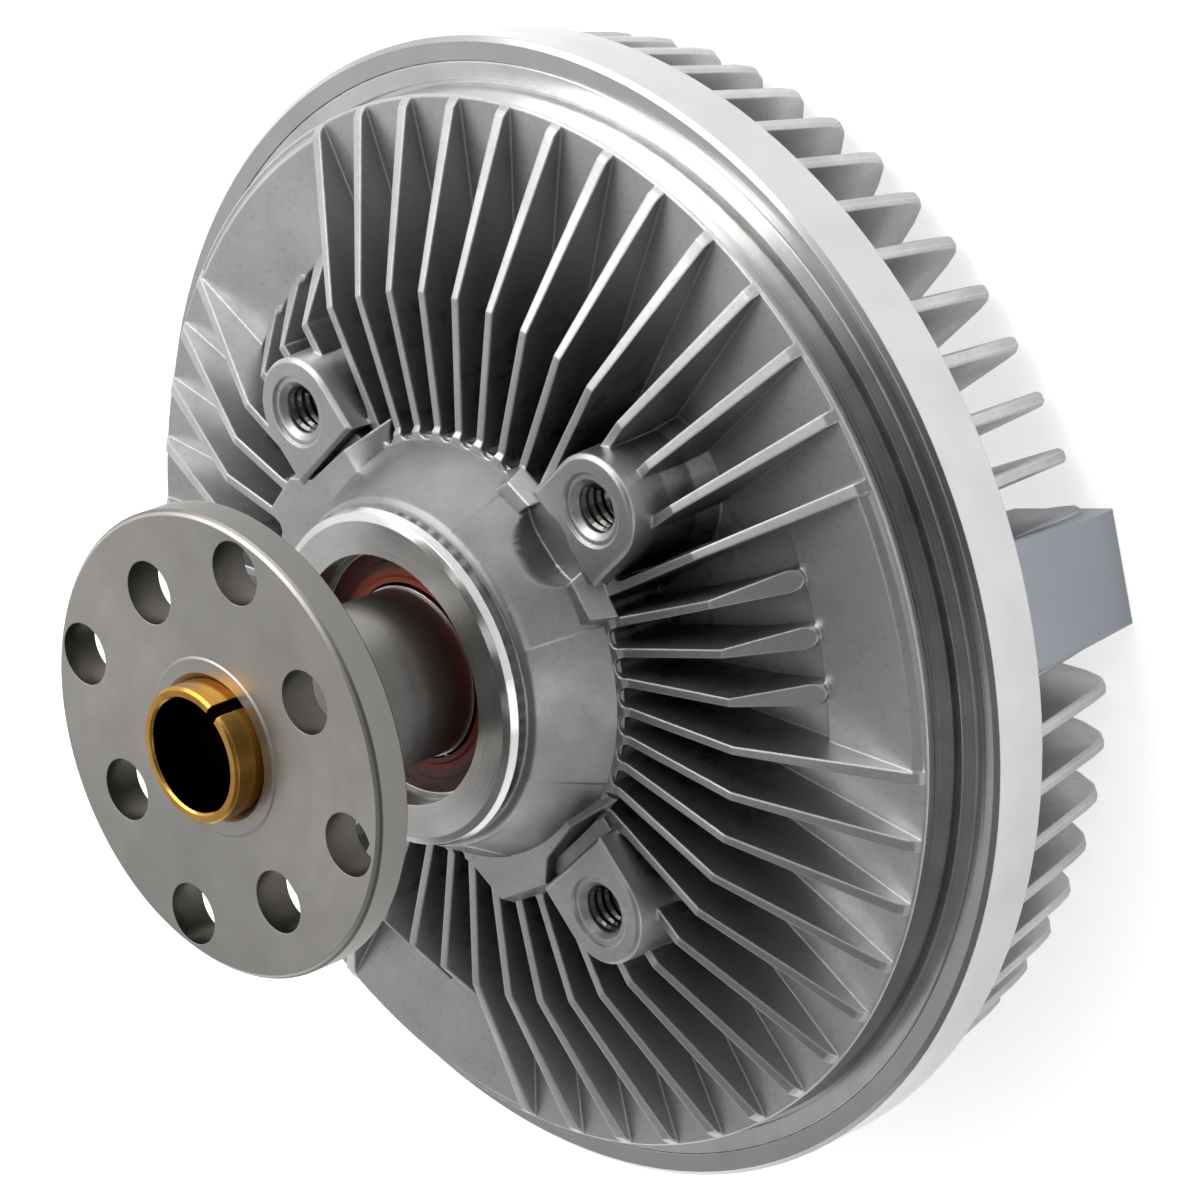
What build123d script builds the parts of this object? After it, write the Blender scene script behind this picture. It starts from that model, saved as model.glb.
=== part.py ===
from build123d import *
import math
import os

# Sizes are in mm. +Z is the spin axis and points from the clutch to the water pump.
# z = 0 is the front face of the drive flange. The bare number in a z name counts from there.
os.makedirs("parts", exist_ok=True)

# Fits
fit_gap = 0.05
slot_gap = 0.10
running_gap = 0.6

# Drive flange and shaft
flange_r = 32.55
flange_t = 5.5
flange_edge = 0.7
flange_hole_r = 4.4
small_pitch_r = 44.45 / 2
small_start = 17
large_pitch_r = 53.975 / 2
large_start = 62
neck_r = 12.0
neck_blend = 2.0
bushing_outer_r = 9.525
bushing_inner_r = 7.94
bushing_proud = 3.95
bushing_back_z = -14.0
bushing_slot = 1.8
bushing_slot_angle = 41
bore_back_z = -16.5
bore_mouth = 0.8

# Bearing, 17 x 40 x 12
bearing_front_z = -36.0
bearing_w = 12.0
bearing_back_z = bearing_front_z - bearing_w
bearing_mid_z = bearing_front_z - bearing_w / 2
bearing_bore_r = 8.5
bearing_outer_r = 20.0
inner_land_r = 12.25
ball_pitch_r = 14.25
outer_land_r = ball_pitch_r + 2.25
seal_mouth_r = 17.4
seal_seat_r = 18.0
ball_r = 6.747 / 2
ball_count = 8
race_gap = 0.05
seal_depth = 0.5
seal_t = 1.1
seal_lip_r = 12.6
ring_groove_r = 21.0
ring_inner_r = 18.3
ring_t = 1.1
ring_groove_w = 1.3

# Rear housing
pilot_mouth_r = 17.9
pilot_face_z = -31.6
pilot_r = 24.1
pilot_edge = 1.5
pilot_foot_z = -38.6
hub_foot_r = 25.5
hub_top_z = -45.5
hub_r = 31.0
fin_flat_z = -46.0
knee_r = 51.25
fin_tip_r = 75.5
fin_tip_z = -55.4
floor_z = -56.4
inner_wall_z = -59.6
chamber_r = 73.3
wall_r = 76.3
rim_groove_r = 77.05
rim_groove_depth = 1.0
rim_front_z = -62.4
rim_r = 81.1
rim_chamfer = 1.6
seat_z = -65.4
fin_pitch = 7.5
fin_root_inner_t = 1.95
fin_root_outer_t = 1.8
fin_draft = 2.3
channel_end_r = 80.0
channel_top_z = -44.0

# Short fins and the low pads in front of them
pad_z = -55.4
pad_in_r = 59.4
nose_in_r = 48.0
nose_in_half = 0.75
nose_end_r = 59.0
nose_half = 1.6
nose_run = 12.8
nose_drop = 12.2

# Platforms on the hub
platform_z = -43.0
scoop_r = 6.0

# Fan bosses
fan_pitch_r = 82.55 / 2
fan_start = 30
fan_face_z = -42.3
fan_hole_r = 3.4
fan_hole_depth = 15.0
fan_hole_mouth_r = 4.2
spot_face_r = 5.1
spot_face_depth = 0.4
boss_inner_x = 33.5
boss_half_w = 7.7
boss_edge = 0.5
boss_wall_z = -49.0
boss_foot_z = -53.4

# Front cover
cover_r = 83.07
lip_front_z = -62.5
lip_r = 79.67
cover_back_z = -71.4
cover_inner_z = -67.0
seal_groove_in_r = 77.5
seal_groove_out_r = 79.5
seal_groove_depth = 1.9
ledge_z = -68.2
plate_r = 50.0
reservoir_r = 44.0
reservoir_floor_z = -75.5
valve_hub_r = 7.5
valve_hub_z = -70.0
dome_z = -79.0
dome_r = 43.0
cover_hub_z = -80.0
cover_fin_count = 60
cover_fin_phase = -1
cover_fin_t = 2.0
fin_edge = 0.45
cover_fin_in_r = 36.0
tip_z = -92.7
block_angle = -0.8
block_in_r = 62.0
block_out_r = 82.3
block_root_w = 18.6

# Rotor and working chamber
rotor_r = 71.0
rotor_front_z = inner_wall_z - running_gap
rotor_web_z = -63.6
land_w = 2.2
land_step = 6.0
first_land_r = 54.0
land_count = 3
rotor_land_z = cover_inner_z + running_gap
cover_land_z = rotor_web_z - running_gap
rotor_seat_r = 7.5
rotor_hub_r = 11.5
shaft_end_z = -66.2

# Pump plate and valve
plate_screw_r = 47.0
screw_shank_r = 1.25
screw_head_r = 2.3
screw_head_h = 1.3
gate_r = 36.0
gate_hole_r = 2.5
gate_angle = 90
valve_shaft_r = 4.0
arm_t = 0.8
arm_w = 8.0
arm_end_z = -68.4
arm_rivet_r = 2.6
arm_rivet_z = -68.6
o_ring_groove_r = 2.6
o_ring_z = -76.0
o_ring_w = 1.6
o_ring_section_r = 0.67
o_ring_mid_r = 3.32

plate_screw_end_z = -72.0
wiper_angle = 0
wiper_outer_r = 73.0
wiper_foot_z = -68.0
wiper_top_z = -61.6
return_angle = 8
return_z = -69.9
return_hole_r = 0.9
return_inlet_r = 71.6
cage_half_t = 0.95

# Thermostat spiral
coil_front_z = -81.0
coil_back_z = -90.0
coil_t = 0.8
coil_start_r = 6.5
coil_pitch = 3.2
coil_turns = 5
coil_tail = 3.5
coil_angle = 50
tail_y = coil_t / 2 - 0.05
bracket_in_x = 24.4
bracket_t = 1.2
bracket_screw_x = 30.6
bracket_screw_y = 4.2
bracket_shank_r = 1.3
bracket_screw_depth = 2.4


def turned(points):
    # A ring turned about the spin axis from its half section, given as (radius, z).
    with BuildPart() as ring:
        with BuildSketch(Plane.XZ):
            with BuildLine():
                Polyline(*points, close=True)
            make_face()
        revolve(axis=Axis.Z)
    return ring.part


def sector(points, start, arc):
    # The same over an arc, from the angle start on.
    with BuildPart() as piece:
        with BuildSketch(Plane.XZ):
            with BuildLine():
                Polyline(*points, close=True)
            make_face()
        revolve(axis=Axis.Z, revolution_arc=arc)
    with BuildPart() as placed:
        with Locations(Rotation(0, 0, start)):
            add(piece.part)
    return placed.part


# Input shaft: a round flange with two bolt circles and a neck down to the bearing and rotor seats
with BuildPart() as input_shaft:
    add(turned([
        (0, bore_back_z - 2.5),
        (bushing_outer_r + fit_gap, bore_back_z),
        (bushing_outer_r + fit_gap, -bore_mouth),
        (bushing_outer_r + fit_gap + bore_mouth, 0),
        (12.3, 0),
        (12.5, -0.2),
        (flange_r - flange_edge, -0.2),
        (flange_r, -0.2 - flange_edge),
        (flange_r, -flange_t + 0.4),
        (flange_r - 0.4, -flange_t),
        (neck_r + neck_blend, -flange_t),
        (neck_r + 0.6, -flange_t - 0.6),
        (neck_r, -flange_t - neck_blend),
        (neck_r, bearing_front_z),
        (bearing_bore_r - fit_gap, bearing_front_z),
        (bearing_bore_r - fit_gap, bearing_back_z + 0.3),
        (rotor_seat_r, bearing_back_z + 0.3),
        (rotor_seat_r, rotor_web_z),
        (rotor_seat_r - 0.8, rotor_web_z),
        (rotor_seat_r - 0.8, rotor_web_z - ring_groove_w),
        (rotor_seat_r, rotor_web_z - ring_groove_w),
        (rotor_seat_r, shaft_end_z + 0.5),
        (rotor_seat_r - 0.5, shaft_end_z),
        (0, shaft_end_z),
    ]))
    with BuildSketch(Plane.XY.offset(1)):
        with PolarLocations(small_pitch_r, 4, start_angle=small_start):
            Circle(flange_hole_r)
        with PolarLocations(large_pitch_r, 4, start_angle=large_start):
            Circle(flange_hole_r)
    extrude(amount=-flange_t - 2, mode=Mode.SUBTRACT)

# Split bushing in the flange's bore
with BuildPart() as pilot_bushing:
    add(turned([
        (bushing_inner_r, bushing_back_z),
        (bushing_inner_r, bushing_proud - 0.3),
        (bushing_inner_r + 0.3, bushing_proud),
        (bushing_outer_r - 0.4, bushing_proud),
        (bushing_outer_r, bushing_proud - 0.4),
        (bushing_outer_r, bushing_back_z),
    ]))
    with BuildSketch(Plane.XY.offset(bushing_proud + 1)):
        with Locations(Rotation(0, 0, bushing_slot_angle)):
            with Locations((bushing_outer_r, 0)):
                Rectangle(6, bushing_slot)
    extrude(amount=-bushing_proud + bushing_back_z - 2, mode=Mode.SUBTRACT)


# One channel between two fins, wider towards the open side, with a rounded inner end
def channel(inner_r):
    half_pitch = math.radians(fin_pitch) / 2
    outward = (inner_r - hub_r) / (channel_end_r - hub_r)
    inner_t = fin_root_inner_t + outward * (fin_root_outer_t - fin_root_inner_t)
    inner_half = inner_r * half_pitch - inner_t / 2
    outer_half = channel_end_r * half_pitch - fin_root_outer_t / 2
    with BuildPart() as cut:
        with BuildSketch(Plane.XY.offset(floor_z)):
            with BuildLine():
                Polyline(
                    (inner_r + inner_half, inner_half),
                    (channel_end_r, outer_half),
                    (channel_end_r, -outer_half),
                    (inner_r + inner_half, -inner_half),
                    (inner_r + 0.3 * inner_half, -0.75 * inner_half),
                    (inner_r, -0.3 * inner_half),
                    (inner_r, 0.3 * inner_half),
                    (inner_r + 0.3 * inner_half, 0.75 * inner_half),
                    close=True,
                )
            make_face()
        extrude(amount=channel_top_z - floor_z, taper=-fin_draft)
    return cut.part


# Outer end of a short fin, along +X: it widens outwards under a steep top and has a round nose
with BuildPart() as fin_nose:
    with BuildSketch(Plane.XY.offset(floor_z)):
        with BuildLine():
            Polyline(
                (nose_end_r, nose_half),
                (nose_in_r, nose_in_half),
                (nose_in_r, -nose_in_half),
                (nose_end_r, -nose_half),
            )
            ThreePointArc(
                (nose_end_r, -nose_half),
                (nose_end_r + nose_half, 0),
                (nose_end_r, nose_half),
            )
        make_face()
    extrude(amount=fin_flat_z - floor_z, taper=fin_draft)
    with BuildSketch(Plane.XZ):
        with BuildLine():
            Polyline(
                (knee_r, fin_flat_z + 1),
                (knee_r, fin_flat_z),
                (knee_r + nose_run, fin_flat_z - nose_drop),
                (knee_r + nose_run, fin_flat_z + 1),
                close=True,
            )
        make_face()
    extrude(amount=4, both=True, mode=Mode.SUBTRACT)


# Outline of a fan boss along +X: straight sides from the hub and a round end about its hole
def boss_outline(inner_x, half_w):
    with BuildSketch() as outline:
        with BuildLine():
            Polyline(
                (fan_pitch_r, half_w),
                (inner_x, half_w),
                (inner_x, -half_w),
                (fan_pitch_r, -half_w),
            )
            ThreePointArc((fan_pitch_r, -half_w), (fan_pitch_r + half_w, 0), (fan_pitch_r, half_w))
        make_face()
    return outline.sketch


# Fan boss along +X: chamfered pad, drafted wall and a foot that flares out onto the channel floor
with BuildPart() as fan_boss:
    half_w = boss_half_w - boss_edge
    inner_x = boss_inner_x + boss_edge
    for top_z, low_z, lean in (
        (fan_face_z, fan_face_z - boss_edge, 45),
        (fan_face_z - boss_edge, boss_wall_z, 3),
        (boss_wall_z, boss_foot_z, 10),
        (boss_foot_z, floor_z - 0.5, 29),
    ):
        with BuildSketch(Plane.XY.offset(top_z)):
            add(boss_outline(inner_x, half_w))
        extrude(amount=low_z - top_z, taper=-lean)
        growth = (top_z - low_z) * math.tan(math.radians(lean))
        half_w = half_w + growth
        inner_x = inner_x - growth

# Raised platforms on the hub in front of the bosses: their foot and their top, drawn along +X
def platform(foot, top):
    with BuildPart() as raised:
        with BuildSketch(Plane.XY.offset(fin_flat_z)):
            with BuildLine():
                Polyline(*foot, close=True)
            make_face()
        with BuildSketch(Plane.XY.offset(platform_z)):
            with BuildLine():
                Polyline(*top, close=True)
            make_face()
        loft(ruled=True)
    return raised.part


side_platform = platform(
    [(22, 15), (25.5, 14.5), (30.4, 12.6), (32, 6), (32, -6), (31, -12), (25.5, -11.5), (22, -12)],
    [(22, 13.2), (24.5, 12.4), (29.4, 11.4), (31, 5.2), (29.8, -5.2), (29.2, -10.6), (24.8, -9.6), (22, -10)],
)
upper_platform = platform(
    [(22, -4.2), (25.6, -4.2), (31.5, -12.5), (34, 5.8), (36.5, 9.7), (35.6, 18.5), (27.9, 17), (21, 15.5)],
    [(22, -4), (25.3, -3.8), (32.4, -3.5), (33, 5.8), (35.7, 9.7), (34.8, 17), (27.9, 15.3), (21, 14)],
)
lower_platform = platform(
    [(21, 2.8), (30.5, 11.5), (32, -4.4), (34.5, -8), (31.2, -19.2), (24, -20.5), (19, -18.5)],
    [(21, 2.4), (29.6, 3.4), (30.6, -4.4), (33.1, -7.5), (30.4, -17.5), (24, -19), (19, -17)],
)

# Rear housing: the casting with its radial fins, fan bosses, pilot ring and machined rim
with BuildPart() as rear_housing:
    add(turned([
        (pilot_mouth_r, pilot_face_z),
        (pilot_r - pilot_edge, pilot_face_z),
        (pilot_r - 0.45, pilot_face_z - 0.45),
        (pilot_r, pilot_face_z - pilot_edge),
        (pilot_r, pilot_foot_z),
        (hub_foot_r, pilot_foot_z - 0.4),
        (hub_foot_r + 1.6, hub_top_z + 1.6),
        (hub_foot_r + 3.2, hub_top_z),
        (hub_r + 0.6, hub_top_z),
        (hub_r + 1.2, fin_flat_z),
        (knee_r, fin_flat_z),
        (fin_tip_r - 0.6, fin_tip_z + 0.23),
        (fin_tip_r, fin_tip_z - 0.35),
        (wall_r - 0.3, floor_z),
        (wall_r, floor_z - 0.3),
        (wall_r, rim_front_z - rim_groove_depth),
        (rim_groove_r, rim_front_z - rim_groove_depth),
        (rim_groove_r, rim_front_z),
        (rim_r - rim_chamfer, rim_front_z),
        (rim_r, rim_front_z - rim_chamfer),
        (rim_r, seat_z),
        (chamber_r, seat_z),
        (chamber_r, inner_wall_z - 1.5),
        (chamber_r - 1.5, inner_wall_z),
        (bearing_outer_r + 2.3, inner_wall_z),
        (bearing_outer_r + 0.3, inner_wall_z + 2.0),
        (bearing_outer_r + 0.3, bearing_back_z - ring_groove_w),
        (ring_groove_r, bearing_back_z - ring_groove_w),
        (ring_groove_r, bearing_back_z),
        (bearing_outer_r + fit_gap, bearing_back_z),
        (bearing_outer_r + fit_gap, bearing_front_z),
        (pilot_mouth_r, bearing_front_z),
    ]))
    # Channels: most reach the hub, some stop at a boss or at one of the three cast pads
    near_boss = [18.75, 41.25, 108.75, 131.25, 198.75, 221.25, 266.25, 273.75, 281.25, 288.75, 311.25]
    past_boss = [26.25, 33.75, 116.25, 123.75, 206.25, 213.75, 296.25, 303.75]
    left_side = [138.75, 146.25, 153.75]
    plain = [3.75 + fin_pitch * k for k in range(48)]
    plain = [a for a in plain if a not in near_boss + past_boss + left_side]
    with Locations(*[Rotation(0, 0, a) for a in plain]):
        add(channel(hub_r), mode=Mode.SUBTRACT)
    with Locations(*[Rotation(0, 0, a) for a in near_boss]):
        add(channel(35.0), mode=Mode.SUBTRACT)
    with Locations(*[Rotation(0, 0, a) for a in past_boss]):
        add(channel(44.0), mode=Mode.SUBTRACT)
    with Locations(*[Rotation(0, 0, a) for a in left_side]):
        add(channel(39.0), mode=Mode.SUBTRACT)
    # Three low pads on the channel floor, where three fins each end in noses
    for pad_angle in (0, 120, 240):
        add(
            sector([
                (knee_r - 0.25, fin_flat_z + 6),
                (knee_r - 0.25, floor_z),
                (77.5, floor_z),
                (77.5, fin_flat_z + 6),
            ], pad_angle - 13.2, 26.4),
            mode=Mode.SUBTRACT,
        )
        add(sector([
            (pad_in_r, floor_z - 0.6),
            (pad_in_r, pad_z - 0.5),
            (pad_in_r + 0.5, pad_z),
            (fin_tip_r - 1.0, pad_z),
            (fin_tip_r, floor_z),
            (fin_tip_r, floor_z - 0.6),
        ], pad_angle - 14.6, 29.2))
        with Locations(*[Rotation(0, 0, pad_angle + a) for a in (-fin_pitch, 0, fin_pitch)]):
            add(fin_nose.part)
    with Locations(*[Rotation(0, 0, fan_start + 90 * k) for k in range(4)]):
        add(fan_boss.part)
    # Narrow groove between each boss and the hub
    with BuildSketch(Plane.XY.offset(fan_face_z + 1)):
        with PolarLocations(boss_inner_x - 0.75, 4, start_angle=fan_start):
            Rectangle(1.5, 2 * boss_half_w)
    extrude(amount=-5.7, mode=Mode.SUBTRACT)
    # Platforms, two of them with a scooped pocket open towards the boss
    with Locations(Rotation(0, 0, fan_start), Rotation(0, 0, fan_start + 180)):
        add(side_platform)
    with Locations(Rotation(0, 0, fan_start + 90)):
        add(upper_platform)
    with Locations(Rotation(0, 0, fan_start + 270)):
        add(lower_platform)
    with BuildSketch(Plane.XY.offset(platform_z + 1)):
        with Locations(Rotation(0, 0, fan_start), Rotation(0, 0, fan_start + 180)):
            with Locations((28.7, 1.2)):
                Circle(scoop_r)
    extrude(amount=-2.6, mode=Mode.SUBTRACT)
    with BuildSketch(Plane.XY.offset(platform_z + 1)):
        with Locations(Rotation(0, 0, fan_start), Rotation(0, 0, fan_start + 180)):
            with Locations((29.6, 1.0)):
                Circle(scoop_r - 1.6)
    extrude(amount=-4.0, mode=Mode.SUBTRACT)
    # Threaded holes for the fan, blind
    with BuildSketch(Plane.XY.offset(fan_face_z + 1)):
        with PolarLocations(fan_pitch_r, 4, start_angle=fan_start):
            Circle(fan_hole_r)
    extrude(amount=-fan_hole_depth - 1, mode=Mode.SUBTRACT)
    with BuildSketch(Plane.XY.offset(fan_face_z + 1)):
        with PolarLocations(fan_pitch_r, 4, start_angle=fan_start):
            Circle(spot_face_r)
    extrude(amount=-spot_face_depth - 1, mode=Mode.SUBTRACT)
    with Locations(Plane.XY.offset(fan_face_z - spot_face_depth - 0.4)):
        with PolarLocations(fan_pitch_r, 4, start_angle=fan_start):
            Cone(fan_hole_r, fan_hole_mouth_r, 0.8, mode=Mode.SUBTRACT)

# One cooling fin of the cover, along +X: a plate whose outer layers are drawn in at the edges
with BuildPart() as cover_fin:
    with BuildSketch(Plane.XZ):
        with BuildLine():
            Polyline(
                (cover_fin_in_r, dome_z + 1.5),
                (50.0, cover_back_z + 1.0),
                (82.0, cover_back_z + 1.0),
                (82.0, cover_back_z),
                (78.7, tip_z + 5.0),
                (77.9, tip_z + 2.2),
                (76.0, tip_z + 0.6),
                (73.0, tip_z),
                (46.0, tip_z),
                (42.0, tip_z + 3.0),
                close=True,
            )
        make_face()
    extrude(amount=cover_fin_t / 2 - fin_edge, both=True)
    extrude(cover_fin.faces().sort_by(Axis.Y)[0], amount=fin_edge, taper=45)
    extrude(cover_fin.faces().sort_by(Axis.Y)[-1], amount=fin_edge, taper=45)

# Passage from the wiper back to the reservoir, drawn along +X
with BuildPart() as return_passage:
    with BuildSketch(Plane.YZ.offset(reservoir_r - 2)):
        with Locations((0, return_z)):
            Circle(return_hole_r)
    extrude(amount=return_inlet_r - reservoir_r + 2.7)
    with BuildSketch(Plane.XY.offset(cover_inner_z + 0.6)):
        with Locations((return_inlet_r, 0)):
            Circle(return_hole_r)
    extrude(amount=return_z - cover_inner_z - 0.6)

# Front cover: plate, rolled rim, fluid reservoir, sealing groove, lands, fins and two blocks
with BuildPart() as front_cover:
    add(turned([
        (rim_r + fit_gap, seat_z),
        (rim_r + fit_gap, lip_front_z - 1.48),
        (lip_r, lip_front_z),
        (cover_r - 0.7, lip_front_z),
        (cover_r, lip_front_z - 0.6),
        (cover_r, cover_back_z),
        (50.5, cover_back_z),
        (dome_r, dome_z),
        (valve_hub_r + 2, dome_z),
        (valve_hub_r + 1, cover_hub_z),
        (valve_shaft_r + fit_gap, cover_hub_z),
        (valve_shaft_r + fit_gap, valve_hub_z),
        (valve_hub_r, valve_hub_z),
        (valve_hub_r, reservoir_floor_z),
        (reservoir_r - 2, reservoir_floor_z),
        (reservoir_r, ledge_z),
        (plate_r + fit_gap, ledge_z),
        (plate_r + fit_gap, cover_inner_z),
        (chamber_r, cover_inner_z),
        (chamber_r, seat_z),
        (seal_groove_in_r, seat_z),
        (seal_groove_in_r, seat_z - seal_groove_depth),
        (seal_groove_out_r, seat_z - seal_groove_depth),
        (seal_groove_out_r, seat_z),
    ]))
    with PolarLocations(0, cover_fin_count, start_angle=cover_fin_phase):
        add(cover_fin.part)
    with BuildSketch(Plane.XY.offset(cover_back_z + 1)):
        with Locations(Rotation(0, 0, block_angle)):
            with Locations(((block_in_r + block_out_r) / 2, 0)):
                RectangleRounded(block_out_r - block_in_r, block_root_w, 1.5)
            with Locations((-(block_in_r + block_out_r) / 2, 0)):
                RectangleRounded(block_out_r - block_in_r, block_root_w, 1.5)
    extrude(amount=tip_z - cover_back_z - 1, taper=3.5)
    # Lands between those of the rotor
    with BuildSketch(Plane.XY.offset(cover_inner_z - 1)):
        for k in range(land_count):
            Circle(first_land_r + land_step * (k + 0.5) + land_w / 2)
            Circle(first_land_r + land_step * (k + 0.5) - land_w / 2, mode=Mode.SUBTRACT)
    extrude(amount=cover_land_z - cover_inner_z + 1)
    # Pocket of the wiper, and the passage by which it sends fluid back to the reservoir
    add(sector([
        (rotor_r + 0.3, cover_inner_z + 0.6),
        (rotor_r + 0.3, wiper_foot_z),
        (wiper_outer_r + fit_gap, wiper_foot_z),
        (wiper_outer_r + fit_gap, cover_inner_z + 0.6),
    ], wiper_angle - 4.8, 9.6), mode=Mode.SUBTRACT)
    with Locations(Rotation(0, 0, return_angle)):
        add(return_passage.part, mode=Mode.SUBTRACT)
    # Screw holes for the pump plate inside and for the coil bracket outside
    with BuildSketch(Plane.XY.offset(ledge_z + 0.5)):
        with PolarLocations(plate_screw_r, 4, start_angle=45):
            Circle(screw_shank_r + fit_gap)
    extrude(amount=plate_screw_end_z - ledge_z - 0.5, mode=Mode.SUBTRACT)
    with BuildSketch(Plane.XY.offset(dome_z - 1)):
        with Locations(Rotation(0, 0, coil_angle)):
            with Locations((bracket_screw_x, bracket_screw_y), (bracket_screw_x, -bracket_screw_y)):
                Circle(bracket_shank_r + fit_gap)
    extrude(amount=bracket_screw_depth + 1, mode=Mode.SUBTRACT)

# Seal ring between the cover and the housing
with BuildPart() as cover_seal_ring:
    add(turned([
        (seal_groove_in_r + fit_gap, seat_z),
        (seal_groove_out_r - fit_gap, seat_z),
        (seal_groove_out_r - fit_gap, seat_z - seal_groove_depth),
        (seal_groove_in_r + fit_gap, seat_z - seal_groove_depth),
    ]))

# Bearing races, each with its ball groove
with BuildPart() as bearing_outer_race:
    add(turned([
        (bearing_outer_r - 0.6, bearing_front_z),
        (bearing_outer_r, bearing_front_z - 0.6),
        (bearing_outer_r, bearing_back_z + 0.6),
        (bearing_outer_r - 0.6, bearing_back_z),
        (seal_mouth_r, bearing_back_z),
        (seal_mouth_r, bearing_back_z + seal_depth),
        (seal_seat_r, bearing_back_z + seal_depth),
        (seal_seat_r, bearing_back_z + seal_depth + seal_t),
        (outer_land_r, bearing_back_z + seal_depth + seal_t + 0.2),
        (outer_land_r, bearing_mid_z - 2.68),
        (ball_pitch_r + 3.17, bearing_mid_z - 1.48),
        (ball_pitch_r + 3.5, bearing_mid_z),
        (ball_pitch_r + 3.17, bearing_mid_z + 1.48),
        (outer_land_r, bearing_mid_z + 2.68),
        (outer_land_r, bearing_front_z - seal_depth - seal_t - 0.2),
        (seal_seat_r, bearing_front_z - seal_depth - seal_t),
        (seal_seat_r, bearing_front_z - seal_depth),
        (seal_mouth_r, bearing_front_z - seal_depth),
        (seal_mouth_r, bearing_front_z),
    ]))

with BuildPart() as bearing_inner_race:
    add(turned([
        (bearing_bore_r, bearing_front_z),
        (inner_land_r, bearing_front_z),
        (inner_land_r, bearing_mid_z + 2.87),
        (ball_pitch_r - 3.1, bearing_mid_z + 1.62),
        (ball_pitch_r - 3.5, bearing_mid_z),
        (ball_pitch_r - 3.1, bearing_mid_z - 1.62),
        (inner_land_r, bearing_mid_z - 2.87),
        (inner_land_r, bearing_back_z),
        (bearing_bore_r, bearing_back_z),
    ]))

with BuildPart() as bearing_balls:
    with Locations((0, 0, bearing_mid_z)):
        with PolarLocations(ball_pitch_r, ball_count):
            Sphere(ball_r)

# Crown cage, open to the back so that it snaps over the balls
with BuildPart() as bearing_cage:
    add(turned([
        (ball_pitch_r - cage_half_t, bearing_mid_z + 3.9),
        (ball_pitch_r + cage_half_t, bearing_mid_z + 3.9),
        (ball_pitch_r + cage_half_t, bearing_mid_z - 2.0),
        (ball_pitch_r - cage_half_t, bearing_mid_z - 2.0),
    ]))
    with Locations((0, 0, bearing_mid_z)):
        with PolarLocations(ball_pitch_r, ball_count):
            Cylinder(ball_r + race_gap, 6, rotation=(0, 90, 0), mode=Mode.SUBTRACT)

# Rubber seals, held in the outer race
with BuildPart() as bearing_seal_front:
    add(turned([
        (seal_seat_r - fit_gap, bearing_front_z - seal_depth),
        (15.8, bearing_front_z - seal_depth),
        (15.4, bearing_front_z - seal_depth - 0.35),
        (13.6, bearing_front_z - seal_depth - 0.35),
        (13.3, bearing_front_z - seal_depth),
        (seal_lip_r, bearing_front_z - seal_depth),
        (seal_lip_r, bearing_front_z - seal_depth - seal_t),
        (seal_seat_r - fit_gap, bearing_front_z - seal_depth - seal_t),
    ]))

with BuildPart() as bearing_seal_rear:
    add(turned([
        (seal_seat_r - fit_gap, bearing_back_z + seal_depth),
        (seal_lip_r, bearing_back_z + seal_depth),
        (seal_lip_r, bearing_back_z + seal_depth + seal_t),
        (seal_seat_r - fit_gap, bearing_back_z + seal_depth + seal_t),
    ]))

# Open ring that holds the bearing in the housing
with BuildPart() as bearing_retaining_ring:
    add(turned([
        (ring_inner_r, bearing_back_z),
        (ring_groove_r - fit_gap, bearing_back_z),
        (ring_groove_r - fit_gap, bearing_back_z - ring_t),
        (ring_inner_r, bearing_back_z - ring_t),
    ]))
    with BuildSketch(Plane.XY.offset(bearing_back_z + 1)):
        with Locations((0, ring_groove_r)):
            Rectangle(7, 8)
    extrude(amount=-4, mode=Mode.SUBTRACT)

# Rotor: hub, web with fluid holes and lands on its back face
with BuildPart() as clutch_rotor:
    add(turned([
        (rotor_seat_r + fit_gap, bearing_back_z),
        (rotor_hub_r, bearing_back_z),
        (rotor_hub_r, rotor_front_z + 3.0),
        (rotor_hub_r + 4.0, rotor_front_z),
        (rotor_r - 0.5, rotor_front_z),
        (rotor_r, rotor_front_z - 0.5),
        (rotor_r, rotor_web_z),
        (rotor_seat_r + fit_gap, rotor_web_z),
    ]))
    with BuildSketch(Plane.XY.offset(rotor_web_z + 1)):
        for k in range(land_count):
            Circle(first_land_r + land_step * k + land_w / 2)
            Circle(first_land_r + land_step * k - land_w / 2, mode=Mode.SUBTRACT)
    extrude(amount=rotor_land_z - rotor_web_z - 1)
    with BuildSketch(Plane.XY.offset(rotor_front_z + 1)):
        with PolarLocations(32, 6):
            Circle(4.0)
    extrude(amount=-6, mode=Mode.SUBTRACT)

# Open ring that holds the rotor on the shaft
with BuildPart() as rotor_retaining_ring:
    add(turned([
        (rotor_seat_r - 0.8 + fit_gap, rotor_web_z),
        (rotor_seat_r + 2.4, rotor_web_z),
        (rotor_seat_r + 2.4, rotor_web_z - ring_t),
        (rotor_seat_r - 0.8 + fit_gap, rotor_web_z - ring_t),
    ]))
    with BuildSketch(Plane.XY.offset(rotor_web_z + 1)):
        with Locations((0, -rotor_seat_r)):
            Rectangle(4, 6)
    extrude(amount=-4, mode=Mode.SUBTRACT)

# Pump plate between working chamber and reservoir, with the gate hole
with BuildPart() as pump_plate:
    with BuildSketch(Plane.XY.offset(cover_inner_z)):
        Circle(plate_r)
        with PolarLocations(plate_screw_r, 4, start_angle=45):
            Circle(screw_shank_r + fit_gap, mode=Mode.SUBTRACT)
        with PolarLocations(gate_r, 1, start_angle=gate_angle):
            Circle(gate_hole_r, mode=Mode.SUBTRACT)
    extrude(amount=ledge_z - cover_inner_z)

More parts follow.
